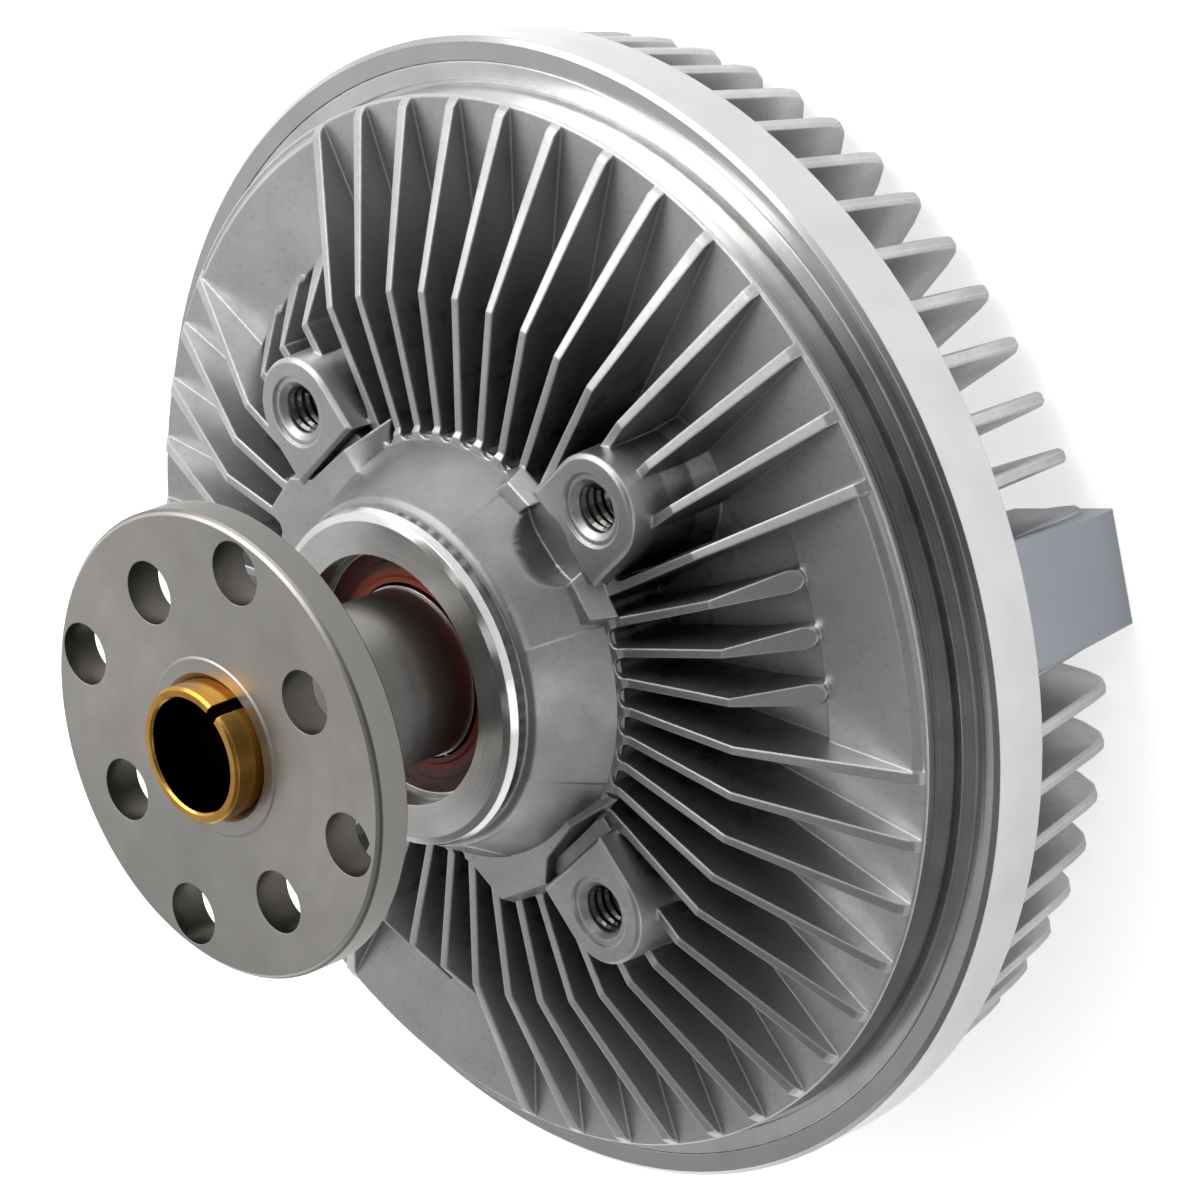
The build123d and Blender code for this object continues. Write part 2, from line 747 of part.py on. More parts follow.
with BuildPart() as pump_plate_screws:
    with BuildSketch(Plane.XY.offset(cover_inner_z + screw_head_h)):
        with PolarLocations(plate_screw_r, 4, start_angle=45):
            Circle(screw_head_r)
    extrude(amount=-screw_head_h)
    with BuildSketch(Plane.XY.offset(cover_inner_z)):
        with PolarLocations(plate_screw_r, 4, start_angle=45):
            Circle(screw_shank_r)
    extrude(amount=plate_screw_end_z + 0.4 - cover_inner_z)

# Wiper block beside the rotor's edge
with BuildPart() as wiper:
    add(sector([
        (rotor_r + 0.35, wiper_foot_z),
        (wiper_outer_r, wiper_foot_z),
        (wiper_outer_r, wiper_top_z),
        (rotor_r + 0.35, wiper_top_z),
    ], wiper_angle - 4.75, 9.5))

# Valve arm: riveted to its shaft, its end lies close under the gate hole
with BuildPart() as valve_arm:
    with BuildSketch(Plane.XY.offset(valve_hub_z)):
        Circle(valve_hub_r - 0.5)
        with Locations((0, 8)):
            Rectangle(arm_w, 12)
        Circle(arm_rivet_r + fit_gap, mode=Mode.SUBTRACT)
    extrude(amount=arm_t)
    with BuildSketch(Plane.XY.offset(valve_hub_z)):
        with Locations((0, 13.4)):
            Rectangle(arm_w, 1.2)
    extrude(amount=arm_end_z - valve_hub_z)
    with BuildSketch(Plane.XY.offset(arm_end_z)):
        with Locations((0, (12.8 + gate_r) / 2)):
            Rectangle(arm_w, gate_r - 12.8)
        with Locations((0, gate_r)):
            Circle(arm_w / 2)
    extrude(amount=-arm_t)

# Valve shaft: rivet head, journal with its sealing groove, slotted outer end
with BuildPart() as valve_shaft:
    add(turned([
        (0, arm_rivet_z),
        (arm_rivet_r + 0.9, arm_rivet_z),
        (arm_rivet_r + 0.9, valve_hub_z + arm_t),
        (arm_rivet_r, valve_hub_z + arm_t),
        (arm_rivet_r, valve_hub_z),
        (valve_shaft_r, valve_hub_z),
        (valve_shaft_r, o_ring_z + o_ring_w / 2),
        (o_ring_groove_r, o_ring_z + o_ring_w / 2),
        (o_ring_groove_r, o_ring_z - o_ring_w / 2),
        (valve_shaft_r, o_ring_z - o_ring_w / 2),
        (valve_shaft_r, coil_back_z - 0.5),
        (valve_shaft_r - 0.5, coil_back_z - 1.0),
        (0, coil_back_z - 1.0),
    ]))
    with BuildSketch(Plane.XY.offset(coil_back_z - 2)):
        with Locations(Rotation(0, 0, coil_angle)):
            with Locations((0, tail_y)):
                Rectangle(12, coil_t + 2 * slot_gap)
    extrude(amount=coil_front_z - coil_back_z + 2.1, mode=Mode.SUBTRACT)

with BuildPart() as valve_shaft_o_ring:
    add(turned([
        (o_ring_mid_r + o_ring_section_r, o_ring_z + 0.28),
        (o_ring_mid_r + 0.28, o_ring_z + o_ring_section_r),
        (o_ring_mid_r - 0.28, o_ring_z + o_ring_section_r),
        (o_ring_mid_r - o_ring_section_r, o_ring_z + 0.28),
        (o_ring_mid_r - o_ring_section_r, o_ring_z - 0.28),
        (o_ring_mid_r - 0.28, o_ring_z - o_ring_section_r),
        (o_ring_mid_r + 0.28, o_ring_z - o_ring_section_r),
        (o_ring_mid_r + o_ring_section_r, o_ring_z - 0.28),
    ]))

# Thermostat spiral: half circles about two centres, a tail in the shaft's slot and one in the bracket
with BuildSketch() as coil_outline:
    with BuildLine():
        for k in range(2 * coil_turns):
            mid_x = coil_pitch / 2 * (k % 2)
            side = 1 if k % 2 == 0 else -1
            for edge_r in (-coil_t / 2, coil_t / 2):
                r = coil_start_r + coil_pitch / 2 * k + edge_r
                ThreePointArc((mid_x + side * r, 0), (mid_x, side * r), (mid_x - side * r, 0))
        Line((coil_start_r - coil_t / 2, 0), (coil_start_r + coil_t / 2, 0))
        end_r = coil_start_r + coil_pitch * coil_turns
        Line((end_r - coil_t / 2, 0), (end_r + coil_t / 2, 0))
    make_face()
with BuildPart() as bimetal_coil:
    with BuildSketch(Plane.XY.offset(coil_back_z)):
        with Locations(Rotation(0, 0, coil_angle)):
            add(coil_outline.sketch)
            with Locations(((coil_start_r - 3.0) / 2, tail_y)):
                Rectangle(coil_start_r + 3.0 + coil_t, coil_t)
            with Locations((end_r + coil_tail / 2 - 0.2, -tail_y)):
                Rectangle(coil_tail + 0.4, coil_t)
    extrude(amount=coil_front_z - coil_back_z)

# Bracket that holds the outer end of the spiral
with BuildPart() as coil_bracket:
    with BuildSketch(Plane.XY.offset(dome_z)):
        with Locations(Rotation(0, 0, coil_angle)):
            with Locations((bracket_in_x + 4.8, 0)):
                Rectangle(9.6, 14)
    extrude(amount=-bracket_t)
    with BuildSketch(Plane.XY.offset(dome_z)):
        with Locations(Rotation(0, 0, coil_angle)):
            with Locations((bracket_in_x + 1.2, 0)):
                Rectangle(2.4, 7)
    extrude(amount=coil_back_z - dome_z + 1.5)
    with BuildSketch(Plane.XY.offset(coil_back_z - 1)):
        with Locations(Rotation(0, 0, coil_angle)):
            with Locations((bracket_in_x + 1.2, -tail_y)):
                Rectangle(4, coil_t + 2 * slot_gap)
    extrude(amount=coil_front_z - coil_back_z + 1.1, mode=Mode.SUBTRACT)
    with BuildSketch(Plane.XY.offset(dome_z + 1)):
        with Locations(Rotation(0, 0, coil_angle)):
            with Locations((bracket_screw_x, bracket_screw_y), (bracket_screw_x, -bracket_screw_y)):
                Circle(bracket_shank_r + fit_gap)
    extrude(amount=-4, mode=Mode.SUBTRACT)

with BuildPart() as coil_bracket_screws:
    with BuildSketch(Plane.XY.offset(dome_z - bracket_t)):
        with Locations(Rotation(0, 0, coil_angle)):
            with Locations((bracket_screw_x, bracket_screw_y), (bracket_screw_x, -bracket_screw_y)):
                Circle(bracket_shank_r + 1.1)
    extrude(amount=-1.5)
    with BuildSketch(Plane.XY.offset(dome_z - bracket_t)):
        with Locations(Rotation(0, 0, coil_angle)):
            with Locations((bracket_screw_x, bracket_screw_y), (bracket_screw_x, -bracket_screw_y)):
                Circle(bracket_shank_r)
    extrude(amount=bracket_t + bracket_screw_depth - 0.4)

input_shaft.part.label = "input_shaft"
pilot_bushing.part.label = "pilot_bushing"
rear_housing.part.label = "rear_housing"
front_cover.part.label = "front_cover"
cover_seal_ring.part.label = "cover_seal_ring"
bearing_outer_race.part.label = "bearing_outer_race"
bearing_inner_race.part.label = "bearing_inner_race"
bearing_balls.part.label = "bearing_balls"
bearing_cage.part.label = "bearing_cage"
bearing_seal_front.part.label = "bearing_seal_front"
bearing_seal_rear.part.label = "bearing_seal_rear"
bearing_retaining_ring.part.label = "bearing_retaining_ring"
clutch_rotor.part.label = "clutch_rotor"
rotor_retaining_ring.part.label = "rotor_retaining_ring"
pump_plate.part.label = "pump_plate"
pump_plate_screws.part.label = "pump_plate_screws"
wiper.part.label = "wiper"
valve_arm.part.label = "valve_arm"
valve_shaft.part.label = "valve_shaft"
valve_shaft_o_ring.part.label = "valve_shaft_o_ring"
bimetal_coil.part.label = "bimetal_coil"
coil_bracket.part.label = "coil_bracket"
coil_bracket_screws.part.label = "coil_bracket_screws"

export_step(input_shaft.part, "parts/input_shaft.step")
export_step(pilot_bushing.part, "parts/pilot_bushing.step")
export_step(rear_housing.part, "parts/rear_housing.step")
export_step(front_cover.part, "parts/front_cover.step")
export_step(cover_seal_ring.part, "parts/cover_seal_ring.step")
export_step(bearing_outer_race.part, "parts/bearing_outer_race.step")
export_step(bearing_inner_race.part, "parts/bearing_inner_race.step")
export_step(bearing_balls.part, "parts/bearing_balls.step")
export_step(bearing_cage.part, "parts/bearing_cage.step")
export_step(bearing_seal_front.part, "parts/bearing_seal_front.step")
export_step(bearing_seal_rear.part, "parts/bearing_seal_rear.step")
export_step(bearing_retaining_ring.part, "parts/bearing_retaining_ring.step")
export_step(clutch_rotor.part, "parts/clutch_rotor.step")
export_step(rotor_retaining_ring.part, "parts/rotor_retaining_ring.step")
export_step(pump_plate.part, "parts/pump_plate.step")
export_step(pump_plate_screws.part, "parts/pump_plate_screws.step")
export_step(wiper.part, "parts/wiper.step")
export_step(valve_arm.part, "parts/valve_arm.step")
export_step(valve_shaft.part, "parts/valve_shaft.step")
export_step(valve_shaft_o_ring.part, "parts/valve_shaft_o_ring.step")
export_step(bimetal_coil.part, "parts/bimetal_coil.step")
export_step(coil_bracket.part, "parts/coil_bracket.step")
export_step(coil_bracket_screws.part, "parts/coil_bracket_screws.step")
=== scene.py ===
import math

import bpy
from mathutils import Matrix, Vector


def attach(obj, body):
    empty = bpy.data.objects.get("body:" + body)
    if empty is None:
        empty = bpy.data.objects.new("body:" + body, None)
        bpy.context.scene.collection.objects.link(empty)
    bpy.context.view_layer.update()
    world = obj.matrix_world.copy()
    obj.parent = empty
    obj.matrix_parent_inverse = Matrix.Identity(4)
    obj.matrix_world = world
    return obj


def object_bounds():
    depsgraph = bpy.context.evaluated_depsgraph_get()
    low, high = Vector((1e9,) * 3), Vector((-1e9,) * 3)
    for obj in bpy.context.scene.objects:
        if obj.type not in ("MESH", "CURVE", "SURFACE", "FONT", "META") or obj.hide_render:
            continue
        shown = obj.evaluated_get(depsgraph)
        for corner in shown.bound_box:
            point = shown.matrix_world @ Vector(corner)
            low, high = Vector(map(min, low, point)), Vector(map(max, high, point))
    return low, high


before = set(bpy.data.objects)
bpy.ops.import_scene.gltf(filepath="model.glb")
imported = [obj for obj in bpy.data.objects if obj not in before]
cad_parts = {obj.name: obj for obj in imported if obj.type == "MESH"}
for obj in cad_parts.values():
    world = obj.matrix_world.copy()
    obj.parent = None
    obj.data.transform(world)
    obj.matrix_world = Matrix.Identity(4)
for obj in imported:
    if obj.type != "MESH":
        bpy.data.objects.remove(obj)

# Viscous fan clutch standing on the tips of its cover fins, seen over its drive flange.
# The scene is in metres with the spin axis on Z. Sizes of the object are named in millimetres,
# radii from the spin axis and heights from the face of the drive flange.
MM = 0.001
WHITE = (1, 1, 1, 1)
solid_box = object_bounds()
scene = bpy.context.scene
scene.view_settings.view_transform = "Standard"


def linear(hex_code):
    # A colour given in sRGB, turned to the linear values that the shaders take.
    parts = [int(hex_code[k:k + 2], 16) / 255 for k in (0, 2, 4)]
    return [c / 12.92 if c <= 0.04045 else ((c + 0.055) / 1.055) ** 2.4 for c in parts] + [1.0]


def node(tree, kind, inputs=None, output=0, **settings):
    # Adds one node and gives one of its outputs. A socket among its inputs is linked, and
    # anything else is set as a value.
    made = tree.nodes.new("ShaderNode" + kind)
    for key, value in settings.items():
        setattr(made, key, value)
    for key, value in (inputs or {}).items():
        if isinstance(value, bpy.types.NodeSocket):
            tree.links.new(value, made.inputs[key])
        else:
            made.inputs[key].default_value = value
    return made.outputs[output] if made.outputs else None


# Camera, at the photograph's height, distance and roll
camera_data = bpy.data.cameras.new("camera")
camera_data.sensor_width = 36.0
camera_data.lens = 147.91
camera_data.clip_end = 20.0
camera = bpy.data.objects.new("camera", camera_data)
scene.collection.objects.link(camera)
camera_place = Vector((0.5164, 0.1282, 0.3829))
view_right = Vector((0.67540, -0.19999, -0.70982))
view_up = Vector((0.0, 0.96253, -0.27119))
view_back = Vector((0.73745, 0.18316, 0.65009))
turn = Matrix((view_right, view_up, view_back)).transposed()
camera.matrix_world = Matrix.Translation(camera_place) @ turn.to_4x4()
scene.camera = camera

# How far the change from one finish to the next reaches, in millimetres: where a tool stopped,
# where a tint fades softly, and where the brown grime and painted shade near the hub fade out
tool_edge = 0.05
soft_edge = 0.3
grime_edge = 4.0

# Noise seldom leaves this span, so the span is stretched over the whole of a pattern's range.
noise_span = {"From Min": 0.3, "From Max": 0.7}

# Size of the slow drift of tone on a moulding
moulded_cloud_mm = 6.0


def new_material(name):
    made = bpy.data.materials.new(name)
    made.use_nodes = True
    made.node_tree.nodes.clear()
    return made, made.node_tree


def places(tree):
    # Position on the piece, its distance from the spin axis and its height, all in millimetres.
    spot = node(tree, "TexCoord", output="Object")
    scaled = node(tree, "VectorMath", {0: spot, 1: (1 / MM, 1 / MM, 1 / MM)}, operation="MULTIPLY")
    flat = node(tree, "VectorMath", {0: scaled, 1: (1, 1, 0)}, operation="MULTIPLY")
    radius = node(tree, "VectorMath", {0: flat}, output="Value", operation="LENGTH")
    height = node(tree, "SeparateXYZ", {0: scaled}, output="Z")
    return scaled, radius, height


def zone(tree, *bands):
    # 1 where every band's value lies between its low and its high, and 0 elsewhere. The edge is
    # how far the change reaches to each side of them.
    share = 1.0
    for value, low, high, edge in bands:
        for starts, ends in ((low - edge, low + edge), (high + edge, high - edge)):
            side = node(tree, "MapRange", {"Value": value, "From Min": starts, "From Max": ends})
            share = node(tree, "Math", {0: share, 1: side}, operation="MULTIPLY")
    return share


def mottled(tree, cloud, pale, dark):
    # A colour that drifts between two tones with slow noise.
    share = node(tree, "MapRange", {"Value": cloud, **noise_span})
    tones = {0: share, 6: linear(pale), 7: linear(dark)}
    return node(tree, "Mix", tones, output=2, data_type="RGBA")


def tinted(tree, colour, tints):
    # Lays each tint over the colour, as far as its share says. Some tints are stains, others painted
    # light or shade.
    for share, tint in tints:
        tones = {0: share, 6: colour, 7: linear(tint)}
        colour = node(tree, "Mix", tones, output=2, data_type="RGBA")
    return colour


def die_cast_shader(tree, where, radius, pale="BEBEBE", dark="A6A6A7", tints=()):
    # Die-cast aluminium as it leaves the mould: satin grey with a flowed, slightly stained skin.
    # Rounded edges carry a painted highlight, and the deep gaps between the fins a painted shade.
    cloud_mm = 14.0
    flow_mm = 3.2
    speck_mm = 0.9
    grain_mm = 0.7
    grain_depth_mm = 0.07
    rounded_edge_mm = 0.45
    gap_mm = 8.0
    grime_in_r = 25.0
    grime_out_r = 52.0

    cloud, flow, speck, grain = (
        node(tree, "TexNoise", {"Vector": where, "Scale": 1.0 / size_mm, "Detail": detail,
                                "Roughness": rough}, output="Fac")
        for size_mm, detail, rough in (
            (cloud_mm, 4.0, 0.55), (flow_mm, 3.0, 0.55), (speck_mm, 2.0, 0.55), (grain_mm, 3.0, 0.6)))
    specks = node(tree, "MapRange", {"Value": speck, "From Min": 0.56, "From Max": 0.8,
                                     "To Max": 0.3})

    rounded = node(tree, "Bevel", {"Radius": rounded_edge_mm * MM}, samples=4)
    sharp = node(tree, "NewGeometry", output="Normal")
    # Painted highlight: where the rounded normal leans off the sharp one, the colour is lightened
    # towards D6D6D6.
    along = node(tree, "VectorMath", {0: rounded, 1: sharp}, output="Value",
                 operation="DOT_PRODUCT")
    painted_edge_highlight = node(tree, "MapRange", {"Value": along, "From Min": 0.90, "From Max": 0.995,
                                     "To Min": 0.6, "To Max": 0.0})

    open_sky = node(tree, "AmbientOcclusion", {"Distance": gap_mm * MM}, output="AO", samples=4)
    # Painted shade: where ambient occlusion finds the gaps closed in, the colour is darkened towards
    # 4B4947.
    painted_gap_shade = node(tree, "MapRange", {"Value": open_sky, "From Min": 0.05, "From Max": 0.38,
                                   "To Min": 0.7, "To Max": 0.0})
    in_shade = node(tree, "MapRange", {"Value": open_sky, "From Min": 0.25, "From Max": 0.6,
                                        "To Min": 1.0, "To Max": 0.0})
    flowed = node(tree, "MapRange", {"Value": flow, "From Min": 0.52, "From Max": 0.66,
                                     "To Max": 0.8})
    # Brown grime near the hub, laid only where ambient occlusion finds shade: partly dirt and partly
    # painted shade.
    grime_and_shade = zone(tree, (radius, grime_in_r, grime_out_r, grime_edge))
    for share in (flowed, in_shade):
        grime_and_shade = node(tree, "Math", {0: grime_and_shade, 1: share}, operation="MULTIPLY")

    # Layers: specks, the given tints, the painted edge highlight, the painted gap shade, and grime
    # with painted shade.
    colour = tinted(tree, mottled(tree, cloud, pale, dark), [
        (specks, "6F6C68"), *tints, (painted_edge_highlight, "D6D6D6"), (painted_gap_shade, "4B4947"), (grime_and_shade, "57483A")])
    roughness = node(tree, "MapRange", {"Value": cloud, **noise_span, "To Min": 0.34, "To Max": 0.46})
    bumped = node(tree, "Bump", {"Strength": 0.3, "Distance": grain_depth_mm * MM, "Height": grain,
                                 "Normal": rounded})
    return node(tree, "BsdfPrincipled", {"Base Color": colour, "Metallic": 1.0,
                                         "Roughness": roughness, "Normal": bumped})


def turned_shader(tree, where, radius, height, pale, dark, roughness, groove_mm=0.35, tints=()):
    # Metal turned on a lathe: bright, with fine rings about the spin axis and stretched
    # highlights. The rings are drawn about twice as coarse as a lathe's feed, so that they show.
    cloud_mm = 9.0
    chatter_mm = 10 / 3
    groove_depth_mm = 0.02
    broken_edge_mm = 0.2
    low, high = roughness

    cloud = node(tree, "TexNoise", {"Vector": where, "Scale": 1.0 / cloud_mm, "Detail": 3.0,
                                    "Roughness": 0.55}, output="Fac")
    across = node(tree, "Math", {0: radius, 1: height}, operation="ADD")
    rings, chatter = (
        node(tree, "TexNoise", {"W": across, "Scale": 1.0 / ring_mm, "Detail": detail},
             output="Fac", noise_dimensions="1D")
        for ring_mm, detail in ((groove_mm, 2.0), (chatter_mm, 1.0)))
    slow = node(tree, "MapRange", {"Value": chatter, **noise_span, "To Min": low, "To Max": high})
    quick = node(tree, "MapRange", {"Value": rings, **noise_span, "To Min": -0.03, "To Max": 0.03})
    ringed = node(tree, "Math", {0: slow, 1: quick}, operation="ADD")
    around = node(tree, "Tangent", direction_type="RADIAL", axis="Z")
    rounded = node(tree, "Bevel", {"Radius": broken_edge_mm * MM}, samples=4)
    bumped = node(tree, "Bump", {"Strength": 0.25, "Distance": groove_depth_mm * MM,
                                 "Height": rings, "Normal": rounded})
    colour = tinted(tree, mottled(tree, cloud, pale, dark), tints)
    return node(tree, "BsdfPrincipled", {"Base Color": colour, "Metallic": 1.0,
                                         "Roughness": ringed, "Anisotropic": 0.3,
                                         "Tangent": around, "Normal": bumped})


def moulded_shader(tree, where, colour, roughness, grain_mm, depth_mm):
    # Moulded rubber or plastic: one soft tone, with the faint grain that the mould leaves.
    grain = node(tree, "TexNoise", {"Vector": where, "Scale": 1.0 / grain_mm, "Detail": 2.0,
                                    "Roughness": 0.55}, output="Fac")
    bumped = node(tree, "Bump", {"Strength": 0.4, "Distance": depth_mm * MM, "Height": grain})
    return node(tree, "BsdfPrincipled", {"Base Color": colour, "Roughness": roughness,
                                         "Normal": bumped})


# Past every piece, for a zone that is open on that side
outside = 90.0

# Rear housing: cast all over, and turned bright on the pilot ring and on the rim
pilot_ring_r = 25.0
pilot_ring_foot = -35.0
rear_rim_in_r = 76.0
rear_rim_top = -56.8
rear_rim_foot = -70.0
rear_cast, tree = new_material("die_cast_aluminium_turned_rim")
where, radius, height = places(tree)
pilot = zone(tree, (radius, 0.0, pilot_ring_r, tool_edge), (height, pilot_ring_foot, 0.0, tool_edge))
rim = zone(tree, (radius, rear_rim_in_r, outside, tool_edge),
           (height, rear_rim_foot, rear_rim_top, tool_edge))
turned_places = node(tree, "Math", {0: pilot, 1: rim}, operation="MAXIMUM")
cast_skin = die_cast_shader(tree, where, radius)
turned_skin = turned_shader(tree, where, radius, height, "D8D8D7", "C6C6C5", (0.16, 0.26))
skin = node(tree, "MixShader", {0: turned_places, 1: cast_skin, 2: turned_skin})
node(tree, "OutputMaterial", {"Surface": skin})

# Cover: the same casting, turned on the rolled lip and the outside of the rim, with the blocks
# between its fins darkened by a painted dark reflection
lip_in_r = 79.0
lip_top = -60.0
lip_foot = -71.35
block_in_x = 60.0
block_half_width = 10.8
block_top = -71.8
block_foot = -95.0
cover_cast, tree = new_material("die_cast_aluminium_turned_lip")
where, radius, height = places(tree)
lip = zone(tree, (radius, lip_in_r, outside, tool_edge), (height, lip_foot, lip_top, tool_edge))
along_x = node(tree, "SeparateXYZ", {0: where}, output="X")
along_y = node(tree, "SeparateXYZ", {0: where}, output="Y")
outward = node(tree, "Math", {0: along_x}, operation="ABSOLUTE")
# Painted reflection: the blocks are tinted a dark bluish grey for the dark surroundings they reflect.
block_dark_reflection = zone(tree, (outward, block_in_x, outside, tool_edge),
                (along_y, -block_half_width, block_half_width, tool_edge),
                (height, block_foot, block_top, tool_edge))
cast_skin = die_cast_shader(tree, where, radius, tints=[(block_dark_reflection, "888B91")])
turned_skin = turned_shader(tree, where, radius, height, "BEBEBF", "B6B6B7", (0.16, 0.26))
skin = node(tree, "MixShader", {0: lip, 1: cast_skin, 2: turned_skin})
node(tree, "OutputMaterial", {"Surface": skin})

# Flank of the hub: the same casting, in darker grey tones
hub_cast, tree = new_material("die_cast_aluminium_hub")
where, radius, _ = places(tree)
skin = die_cast_shader(tree, where, radius, "9B9B9C", "818181")
node(tree, "OutputMaterial", {"Surface": skin})

# Flanged shaft: satin from fine turning on the flange's face, duller on its edge, with painted shade
# on its neck and on the walls of the drilled holes. A wall is steep, so its normal has hardly any
# height.
flange_edge_r = 32.2
neck_in_r = 9.0
neck_out_r = 15.0
neck_top = -5.6
neck_foot = -40.0
holes_out_r = 31.8
holes_top = -0.1
holes_foot = -17.0
steep_below = 0.35
steep_edge = 0.15
satin_steel, tree = new_material("satin_turned_steel")
where, radius, height = places(tree)
on_edge = zone(tree, (radius, flange_edge_r, outside, tool_edge))
neck_painted_shade = zone(tree, (radius, neck_in_r, neck_out_r, tool_edge),
               (height, neck_foot, neck_top, tool_edge))
facing = node(tree, "NewGeometry", output="Normal")
facing_up = node(tree, "SeparateXYZ", {0: facing}, output="Z")
hole_painted_shade = zone(tree, (facing_up, -steep_below, steep_below, steep_edge),
               (radius, 0.0, holes_out_r, tool_edge), (height, holes_foot, holes_top, tool_edge))
# Painted shade: the neck and the walls of the holes are tinted darker for the shade that falls in
# them.
skin = turned_shader(tree, where, radius, height, "AFACA8", "A4A19C", (0.38, 0.46), tints=[
    (on_edge, "7B7975"), (hole_painted_shade, "5C5955"), (neck_painted_shade, "888683")])
node(tree, "OutputMaterial", {"Surface": skin})

# Split bushing: burnished brass outside and on its end, with painted shade in dark brown inside its
# bore
bore_r = 8.1
bore_top = 3.4
bore_foot = -20.0
brass, tree = new_material("burnished_brass")
where, radius, height = places(tree)
# Painted shade: the bore is tinted dark brown for the shade inside it.
bore_painted_shade = zone(tree, (radius, 0.0, bore_r, tool_edge), (height, bore_foot, bore_top, soft_edge))
skin = turned_shader(tree, where, radius, height, "D9AE62", "B98538", (0.16, 0.28),
                     tints=[(bore_painted_shade, "3E2711")])
node(tree, "OutputMaterial", {"Surface": skin})

# Seal: moulded red rubber, darker outside and a brighter red towards the lip that meets the shaft
seal_lip_r = 14.6
red_rubber, tree = new_material("moulded_red_seal_rubber")
where, radius, _ = places(tree)
cloud = node(tree, "TexNoise", {"Vector": where, "Scale": 1.0 / moulded_cloud_mm, "Detail": 3.0,
                                "Roughness": 0.55}, output="Fac")
bright_lip = zone(tree, (radius, 0.0, seal_lip_r, soft_edge))
seal_colour = tinted(tree, mottled(tree, cloud, "6E2A1E", "431710"), [(bright_lip, "9A3D26")])
skin = moulded_shader(tree, where, seal_colour, 0.42, grain_mm=0.4, depth_mm=0.03)
node(tree, "OutputMaterial", {"Surface": skin})


def turned_metal(name, pale, dark, roughness, groove_mm=0.35):
    made, tree = new_material(name)
    where, radius, height = places(tree)
    skin = turned_shader(tree, where, radius, height, pale, dark, roughness, groove_mm)
    node(tree, "OutputMaterial", {"Surface": skin})
    return made


def moulded(name, pale, dark, roughness, grain_mm, depth_mm):
    made, tree = new_material(name)
    where, _, _ = places(tree)
    low, high = roughness
    cloud = node(tree, "TexNoise", {"Vector": where, "Scale": 1.0 / moulded_cloud_mm,
                                    "Detail": 3.0, "Roughness": 0.55}, output="Fac")
    drift = node(tree, "MapRange", {"Value": cloud, **noise_span, "To Min": low, "To Max": high})
    colour = mottled(tree, cloud, pale, dark)
    node(tree, "OutputMaterial", {
        "Surface": moulded_shader(tree, where, colour, drift, grain_mm, depth_mm)})
    return made


# Tapped aluminium: darker than the casting, a painted shade for the inside of the holes, with bright
# glints on the crests
cut_thread = turned_metal("tapped_aluminium_thread", "8D8C89", "63625F", (0.16, 0.26))
# Ground bearing steel: the brightest metal here, with the finest rings
ground_steel = turned_metal("ground_bearing_steel", "D6D6D4", "B9B9B8", (0.12, 0.22), 0.2)
# Blued spring steel: almost black, with a soft sheen
blued_spring = turned_metal("blued_spring_steel", "4B4A4A", "333233", (0.28, 0.4))
# Turned aluminium: pale and clean, with rings across the lands
turned_rotor = turned_metal("turned_aluminium_rotor", "D8D8D6", "C3C3C1", (0.2, 0.32))
# Stamped steel: mid grey under a thin film of oil
stamped_steel = turned_metal("stamped_oiled_steel", "A5A39E", "86847F", (0.26, 0.4))
# Zinc plate: grey with a faint yellow cast
zinc_plate = turned_metal("zinc_plated_steel", "B7B4A6", "97948A", (0.26, 0.4))
# Bare bimetal: straw grey and a little dull
bimetal_strip = turned_metal("bare_bimetal_strip", "A79F8C", "8A8272", (0.28, 0.42))
# Moulded black rubber: near black and matt
black_rubber = moulded("moulded_black_rubber", "1D1D1D", "121212", (0.4, 0.6), 0.4, 0.03)
# Moulded polyamide: dark brown, with a fine even grain
polyamide = moulded("moulded_polyamide", "4A4036", "3A3229", (0.4, 0.55), 0.5, 0.02)

finish_of = {
    "input_shaft": satin_steel,
    "pilot_bushing": brass,
    "rear_housing": rear_cast,
    "front_cover": cover_cast,
    "cover_seal_ring": black_rubber,
    "bearing_outer_race": ground_steel,
    "bearing_inner_race": ground_steel,
    "bearing_balls": ground_steel,
    "bearing_cage": polyamide,
    "bearing_seal_front": red_rubber,
    "bearing_seal_rear": red_rubber,
    "bearing_retaining_ring": blued_spring,
    "clutch_rotor": turned_rotor,
    "rotor_retaining_ring": blued_spring,
    "pump_plate": stamped_steel,
    "pump_plate_screws": zinc_plate,
    "wiper": polyamide,
    "valve_arm": stamped_steel,
    "valve_shaft": blued_spring,
    "valve_shaft_o_ring": black_rubber,
    "bimetal_coil": bimetal_strip,
    "coil_bracket": stamped_steel,
    "coil_bracket_screws": zinc_plate,
}
for name, finish in finish_of.items():
    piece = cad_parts[name]
    if not piece.material_slots:
        piece.data.materials.append(finish)
    for slot in piece.material_slots:
        slot.material = finish


def mesh_piece(name, corners, faces, finish):
    mesh = bpy.data.meshes.new(name)
    mesh.from_pydata(corners, [], faces)
    mesh.validate()
    made = bpy.data.objects.new(name, mesh)
    scene.collection.objects.link(made)
    mesh.materials.append(finish)
    return made


# Threads of the four fan holes: a ridge that winds down each bore, 18 turns to the inch. Its root
# is sunk a little into the wall of the bore.
fan_circle = 82.55
boss_angles = (30, 120, 210, 300)
fan_bore_r = 3.4
thread_crest_r = 3.0
thread_sunk = 0.05
thread_root_half = 0.6
thread_crest_half = 0.1
thread_pitch = 1.41
thread_top = -43.9
thread_turns = 8
steps_a_turn = 24


